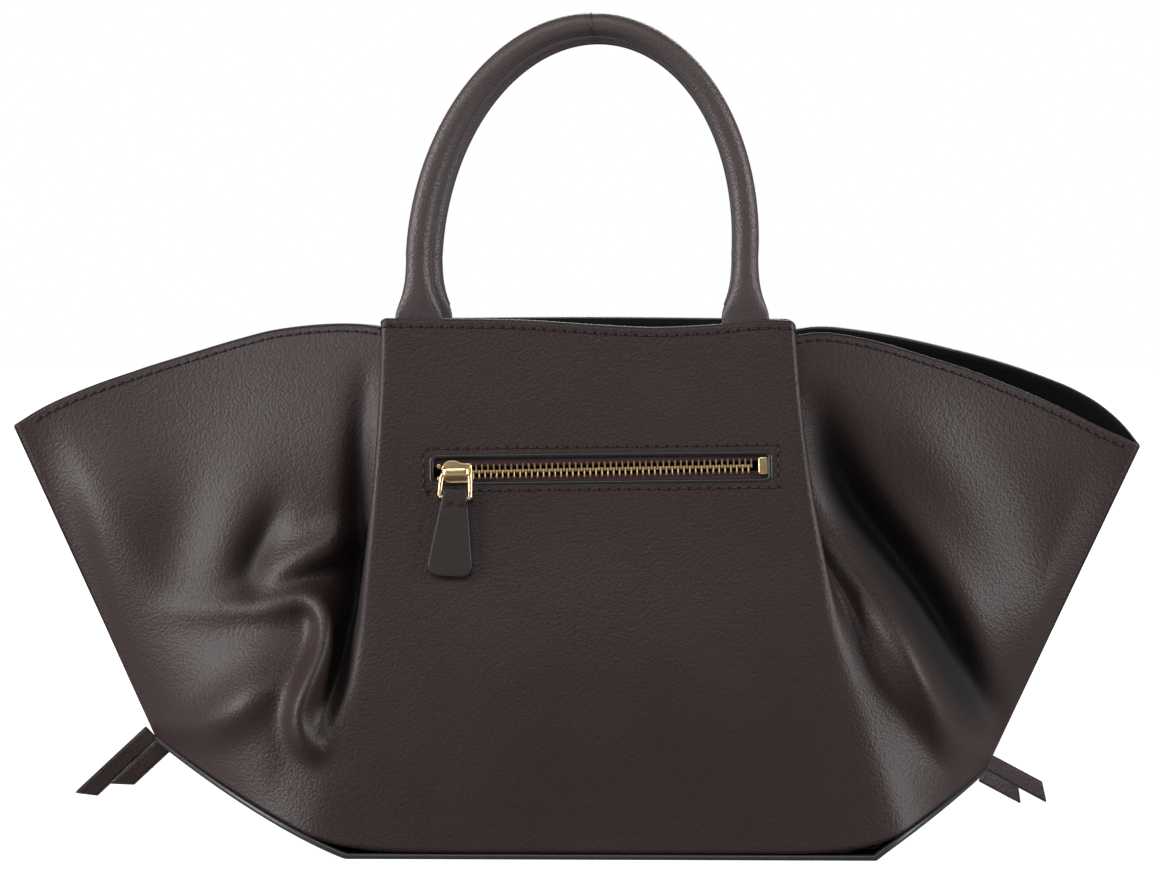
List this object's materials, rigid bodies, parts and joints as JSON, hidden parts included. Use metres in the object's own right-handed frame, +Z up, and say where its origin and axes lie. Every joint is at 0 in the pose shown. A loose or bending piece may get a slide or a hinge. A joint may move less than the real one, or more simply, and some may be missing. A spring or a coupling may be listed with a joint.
{
  "type": "trapeze tote bag",
  "caption": "Soft leather trapeze tote with pleated panels, flared wings, rolled handles that fold down, and a rear zip pocket.",
  "frame": {"origin": "on the floor, on the underside of the flat base, below the middle of the centre panel", "axes": "+Z up, +X to the right along the bag as seen from the zip-pocket side, and the zip pocket faces -Y"},
  "size_m": [0.4841, 0.1458, 0.3537],
  "materials": {
    "body_leather": "pebbled, satin",
    "base_leather": "pebbled, satin, painted edges",
    "facing_leather": "smooth, satin",
    "handle_leather": "rolled and stitched, satin",
    "edge_paint": "painted edge, satin",
    "lining_cloth": "suede cloth, matt",
    "board": "fibre board",
    "zip_tape": "woven tape",
    "brass": "polished",
    "handle_cord": "laid cotton cord"
  },
  "bodies": {
    "bag": {"back_panel": "body_leather", "front_panel": "body_leather", "base_panel": "base_leather", "base_board": "board", "base_lining": "lining_cloth", "back_lining": "lining_cloth", "front_lining": "lining_cloth", "back_facing": "facing_leather", "front_facing": "facing_leather", "left_side_seam": "edge_paint", "right_side_seam": "edge_paint", "zip_frame": "edge_paint", "zip_tape_upper": "zip_tape", "zip_tape_lower": "zip_tape", "zip_teeth_upper": "brass", "zip_teeth_lower": "brass", "zip_top_stops": "brass", "zip_bottom_stop": "brass", "zip_pocket_bag": "lining_cloth", "back_handle_tongues": "handle_leather", "front_handle_tongues": "handle_leather", "left_tie_roots": "body_leather", "right_tie_roots": "body_leather", "snap_socket": "brass", "snap_stud": "brass"},
    "slider": {"slider_body": "brass"},
    "ring": {"pull_ring": "brass"},
    "tab": {"pull_tab": "body_leather"},
    "back_handle": {"back_handle": "handle_leather", "back_handle_core": "handle_cord"},
    "front_handle": {"front_handle": "handle_leather", "front_handle_core": "handle_cord"},
    "left_ties": {"left_tie_ends": "body_leather"},
    "right_ties": {"right_tie_ends": "body_leather"}
  },
  "joints": [
    {"name": "zip_slide", "type": "slide", "parent": "bag", "child": "slider", "axis": [0.9997, 0.003, 0.0225], "range_m": [0, 0.1193], "deforming": ["zip_teeth_upper", "zip_teeth_lower"]},
    {"name": "ring_swing", "type": "hinge", "parent": "slider", "child": "ring", "pos_m": [-0.05528, -0.05301, 0.16096], "axis": [-0.9979, 0.0087, 0.0639], "range_deg": [0, 120]},
    {"name": "tab_swing", "type": "hinge", "parent": "ring", "child": "tab", "pos_m": [-0.05599, -0.05448, 0.15008], "axis": [-0.9979, 0.0087, 0.0639], "range_deg": [0, 50]},
    {"name": "back_handle_fold", "type": "hinge", "parent": "bag", "child": "back_handle", "pos_m": [-0.003, -0.0394, 0.2306], "axis": [1, 0, 0], "range_deg": [-14, 94]},
    {"name": "front_handle_fold", "type": "hinge", "parent": "bag", "child": "front_handle", "pos_m": [-0.003, 0.0394, 0.2306], "axis": [-1, 0, 0], "range_deg": [-14, 94]},
    {"name": "left_tie_bend", "type": "hinge", "parent": "bag", "child": "left_ties", "pos_m": [-0.19224, 0, 0.03892], "axis": [-0.6157, 0, 0.788], "range_deg": [-60, 60], "stiffness_Nm_per_rad": 0.01},
    {"name": "right_tie_bend", "type": "hinge", "parent": "bag", "child": "right_ties", "pos_m": [0.17505, 0, 0.02846], "axis": [0.309, 0, 0.9511], "range_deg": [-60, 60], "stiffness_Nm_per_rad": 0.01}
  ]
}
